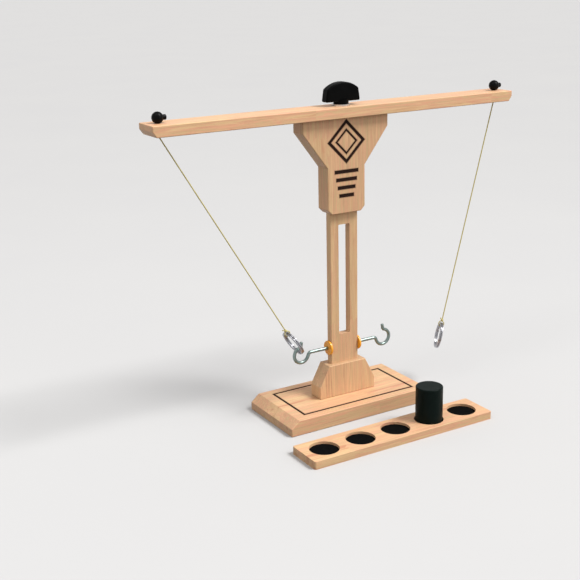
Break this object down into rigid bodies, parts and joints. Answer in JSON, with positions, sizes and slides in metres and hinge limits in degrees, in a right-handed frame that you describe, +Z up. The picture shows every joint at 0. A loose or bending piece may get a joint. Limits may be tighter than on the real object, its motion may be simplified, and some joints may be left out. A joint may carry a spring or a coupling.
{
  "type": "hook and ring game",
  "caption": "Tabletop hook and ring game: wooden stand with a clamped crossbar, cords that swing rings onto side hooks, and a scoring rack with a marker",
  "frame": {"origin": "centre of the base block's underside, on the table", "axes": "+X along the crossbar to the side of the free ring, +Y away from the score rack and the front player, +Z up"},
  "size_m": [0.4, 0.1522, 0.3289],
  "materials": {
    "base_wood": "clear satin",
    "board_wood": "clear satin",
    "post_wood": "clear satin",
    "bar_wood": "clear satin",
    "rack_wood": "clear satin",
    "screw_steel": "plated",
    "insert_brass": "bare",
    "washer_steel": "plated",
    "knob_plastic": "satin moulded",
    "toggle_plastic": "satin moulded",
    "cord": "braided",
    "ring_steel": "bright",
    "hook_steel": "zinc plated",
    "washer_orange": "moulded",
    "pad_rubber": "foam",
    "marker_plastic": "polished"
  },
  "bodies": {
    "stand": {"base_block": "base_wood", "base_screws": "screw_steel", "socket_block": "board_wood", "upright": "post_wood", "head_block": "board_wood", "threaded_insert": "insert_brass", "crossbar": "bar_wood", "left_hook": "hook_steel", "right_hook": "hook_steel", "left_hook_washer": "washer_orange", "right_hook_washer": "washer_orange", "left_toggle_body": "toggle_plastic", "right_toggle_body": "toggle_plastic", "left_toggle_spring": "screw_steel", "right_toggle_spring": "screw_steel", "left_cord_top": "cord", "right_cord_top": "cord"},
    "clamp_washer": {"knob_washer": "washer_steel"},
    "clamp_knob": {"knob_wing": "knob_plastic", "knob_stud": "screw_steel"},
    "left_button": {"left_toggle_button": "toggle_plastic"},
    "right_button": {"right_toggle_button": "toggle_plastic"},
    "left_line": {"left_cord": "cord", "left_cord_knot": "cord", "left_ring": "ring_steel"},
    "right_line": {"right_cord": "cord"},
    "right_knot": {"right_cord_knot": "cord"},
    "right_ring_body": {"right_ring": "ring_steel"},
    "rack": {"score_rack": "rack_wood", "pocket_pad_1": "pad_rubber", "pocket_pad_2": "pad_rubber", "pocket_pad_3": "pad_rubber", "pocket_pad_4": "pad_rubber", "pocket_pad_5": "pad_rubber"},
    "marker": {"score_marker": "marker_plastic"}
  },
  "joints": [
    {"name": "clamp_rise", "type": "slide", "parent": "stand", "child": "clamp_washer", "axis": [0, 0, 1], "range_m": [0, 0.002]},
    {"name": "clamp_turn", "type": "hinge", "parent": "clamp_washer", "child": "clamp_knob", "pos_m": [0, 0, 0.3107], "axis": [0, 0, 1], "range_deg": [0, 720]},
    {"name": "left_button_press", "type": "slide", "parent": "stand", "child": "left_button", "axis": [-1, 0, 0], "range_m": [0, 0.0016], "stiffness_N_per_m": 300, "springref_m": -0.001},
    {"name": "right_button_press", "type": "slide", "parent": "stand", "child": "right_button", "axis": [-1, 0, 0], "range_m": [0, 0.0016], "stiffness_N_per_m": 300, "springref_m": -0.001},
    {"name": "left_cord_swing", "type": "hinge", "parent": "stand", "child": "left_line", "pos_m": [-0.1885, 0, 0.2956], "axis": [0, -1, 0], "range_deg": [0, 7]},
    {"name": "right_cord_swing", "type": "hinge", "parent": "stand", "child": "right_line", "pos_m": [0.1885, 0, 0.2956], "axis": [0, 1, 0], "range_deg": [-70, 10]},
    {"name": "right_ring_twist", "type": "hinge", "parent": "right_line", "child": "right_knot", "pos_m": [0.12636, 0, 0.06371], "axis": [-0.2588, 0, -0.9659], "continuous": true},
    {"name": "right_ring_tilt", "type": "hinge", "parent": "right_knot", "child": "right_ring_body", "pos_m": [0.12636, 0, 0.06371], "axis": [0.4975, 0.8572, -0.1333], "range_deg": [-30, 30]},
    {"name": "rack_slide", "type": "slide", "parent": "stand", "child": "rack", "axis": [0, -1, 0], "range_m": [0, 0.1]},
    {"name": "marker_lift", "type": "slide", "parent": "rack", "child": "marker", "axis": [0, 0, 1], "range_m": [0, 0.06]}
  ],
  "couplings": [
    {"joint": "clamp_turn", "follows": "clamp_rise", "rad_per_m": 6283.2}
  ]
}
